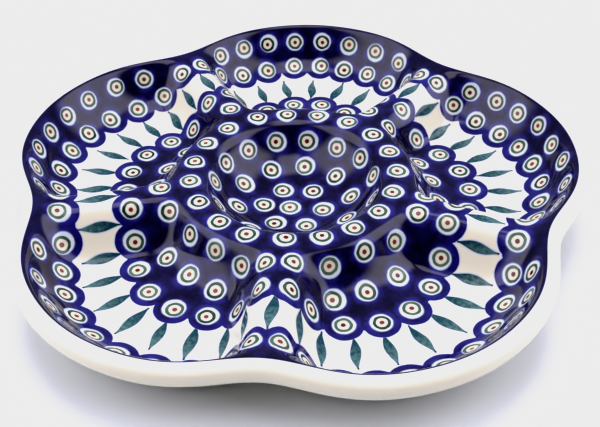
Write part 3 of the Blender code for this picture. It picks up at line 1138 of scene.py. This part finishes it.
def make_bare_stoneware():
    """Unglazed fired clay of the resting faces."""
    material = bpy.data.materials.new("bare_stoneware")
    nodes = Nodes(material)
    speckle = nodes.ease(nodes.noise(SPECKLE_SCALE, GRAINY, SPECKLE_ROUGHNESS), *SPECKLE_RANGE)
    nodes.join(nodes.mix(speckle, CLAY_PALE, CLAY_DARK), nodes.shader.inputs["Base Color"])
    nodes.join(nodes.fit(speckle, *CLAY_ROUGHNESS), nodes.shader.inputs["Roughness"])
    grain = nodes.bump(nodes.noise(GRAIN_SCALE, GRAINY), CLAY_RELIEF)
    nodes.join(grain, nodes.shader.inputs["Normal"])
    return material


def add_floor():
    """Plain pale floor under the tray, with painted light: its far part glows where the softboxes do not
    reach.
    """
    bpy.ops.mesh.primitive_grid_add(
        x_subdivisions=FLOOR_CELLS, y_subdivisions=FLOOR_CELLS, size=FLOOR_SIZE
    )
    floor = bpy.context.object
    floor.name = "studio_floor"
    floor.location.z = -FLOOR_GAP
    material = bpy.data.materials.new("floor_paper")
    nodes = Nodes(material)
    cloud = nodes.noise(FLOOR_CLOUD_SCALE, CLOUDED)
    nodes.join(nodes.mix(cloud, FLOOR_PALE, FLOOR_GREY), nodes.shader.inputs["Base Color"])
    # Painted light: the floor glows in its own pale colour, more the farther it lies from the tray
    away = nodes.add("ShaderNodeVectorMath", operation="LENGTH")
    nodes.join(nodes.add("ShaderNodeTexCoord").outputs["Object"], away.inputs[0])
    far = nodes.ease(away.outputs["Value"], FAR_FLOOR_START, FAR_FLOOR_FULL)
    nodes.join(nodes.fit(far, 0.0, FAR_FLOOR_GLOW), nodes.shader.inputs["Emission Strength"])
    nodes.join(FLOOR_PALE, nodes.shader.inputs["Emission Color"])
    nodes.shader.inputs["Roughness"].default_value = FLOOR_ROUGHNESS
    nodes.shader.inputs["Specular IOR Level"].default_value = FLOOR_SPECULAR
    floor.data.materials.append(material)


def add_softbox(name, direction, width, depth, radiance):
    """Rectangular soft light that faces the tray and fades towards its borders."""
    light = bpy.data.lights.new(name, "AREA")
    light.shape = "RECTANGLE"
    light.size = width
    light.size_y = depth
    light.energy = radiance * math.pi * width * depth
    light.color = SOFTBOX_COLOUR
    nodes = Nodes(light)
    split = nodes.add("ShaderNodeSeparateXYZ")
    nodes.join(nodes.add("ShaderNodeNewGeometry").outputs["Parametric"], split.inputs[0])
    glow = 1.0
    for place in split.outputs[:2]:
        from_middle = nodes.math("ABSOLUTE", nodes.math("SUBTRACT", place, 0.5))
        from_border = nodes.math("SUBTRACT", 0.5, from_middle)
        glow = nodes.product(nodes.ease(from_border, 0.0, SOFTBOX_FADE), glow)
    nodes.join(glow, nodes.tree.nodes["Emission"].inputs["Strength"])
    softbox = bpy.data.objects.new(name, light)
    facing = Vector(direction).normalized()
    softbox.location = facing * SOFTBOX_DISTANCE
    softbox.rotation_euler = facing.to_track_quat("Z", "Y").to_euler()
    softbox.visible_camera = False
    bpy.context.collection.objects.link(softbox)


def add_back_light():
    """Even light over the whole floor that the glaze does not mirror."""
    light = bpy.data.lights.new("back_light", "SUN")
    light.energy = BACK_LIGHT_STRENGTH
    light.angle = BACK_LIGHT_SPREAD
    light.color = SOFTBOX_COLOUR
    lamp = bpy.data.objects.new("back_light", light)
    lamp.rotation_euler = Vector(BACK_LIGHT_FROM).to_track_quat("Z", "Y").to_euler()
    lamp.visible_glossy = False
    bpy.context.collection.objects.link(lamp)


def add_world():
    """Dim room that darkens towards the camera's side, seen past the floor as a pale backdrop."""
    world = bpy.data.worlds.new("studio")
    bpy.context.scene.world = world
    nodes = Nodes(world)
    room = nodes.tree.nodes["Background"]
    split = nodes.add("ShaderNodeSeparateXYZ")
    nodes.join(nodes.add("ShaderNodeTexCoord").outputs["Generated"], split.inputs[0])
    share = nodes.ease(split.outputs[1], FILL_DARK, FILL_FULL)
    seen = nodes.add("ShaderNodeLightPath").outputs["Is Camera Ray"]
    fill = nodes.fit(share, 0.0, FILL_STRENGTH)
    nodes.join(nodes.fit(seen, fill, BACKDROP_STRENGTH), room.inputs["Strength"])
    nodes.join(FILL_COLOUR, room.inputs["Color"])


def add_camera():
    """Camera at the photograph's viewing angle."""
    forward = Vector((0.0, math.cos(CAMERA_RISE), -math.sin(CAMERA_RISE)))
    level = Vector((1.0, 0.0, 0.0))
    upward = Vector((0.0, math.sin(CAMERA_RISE), math.cos(CAMERA_RISE)))
    right = level * math.cos(CAMERA_ROLL) + upward * math.sin(CAMERA_ROLL)
    up = upward * math.cos(CAMERA_ROLL) - level * math.sin(CAMERA_ROLL)
    aim = Vector((AIM_RIGHT, AIM_BACK, RIM_HEIGHT))
    stand = Matrix((right, up, -forward)).transposed().to_4x4()
    stand.translation = aim - forward * CAMERA_DISTANCE
    data = bpy.data.cameras.new("camera")
    data.lens = LENS
    data.sensor_width = SENSOR
    data.sensor_fit = "HORIZONTAL"
    camera = bpy.data.objects.new("camera", data)
    camera.matrix_world = Matrix.Rotation(CAMERA_TURN, 4, "Z") @ stand
    bpy.context.collection.objects.link(camera)
    bpy.context.scene.camera = camera


def set_tone():
    """Hold the picture's blacks down and its whites at one pale level."""
    settings = bpy.context.scene.view_settings
    settings.view_transform = "Standard"
    settings.use_curve_mapping = True
    curve = settings.curve_mapping.curves[COMBINED_CURVE]
    curve.points[1].location = (1.0, WHITE_LEVEL)
    for step in range(1, TONE_STEPS):
        level = step / TONE_STEPS
        raised = max(level - BLACK_LEVEL, 0.0) / (1.0 - BLACK_LEVEL)
        curve.points.new(level ** TONE_GAMMA, min(raised ** TONE_GAMMA, WHITE_LEVEL))
    settings.curve_mapping.update()


draw = np.random.default_rng(PAINT_SEED)
eyes = place_eyes(draw)
leaves = place_leaves(draw)
eye_draw = draw.uniform(0.0, 1.0, len(eyes.size))
leaf_draw = draw.uniform(0.0, 1.0, len(leaves.size))
painted_glaze = make_painted_glaze()
bare_stoneware = make_bare_stoneware()

add_shell("dip_bowl", bowl_rows(), 0.0, wrap=True, pole=True, folds=2)
add_shell("bowl_collar", collar_rows(), 0.0, wrap=True, folds=4)
petal_grids = petal_rows()
divider_grids = divider_rows()
rim_lip_grids = rim_lip_rows()
for number in range(PETALS):
    turn = SECTOR * number
    suffix = "_%d" % (number + 1)
    add_shell("petal_dish" + suffix, petal_grids, turn)
    add_shell("divider" + suffix, divider_grids, turn, joined=True)
    add_shell("rim_lip" + suffix, rim_lip_grids, turn, joined=True)

add_floor()
add_world()
add_softbox("left_softbox", *LEFT_SOFTBOX)
add_softbox("right_softbox", *RIGHT_SOFTBOX)
add_softbox("top_softbox", *TOP_SOFTBOX)
add_back_light()
add_camera()
set_tone()
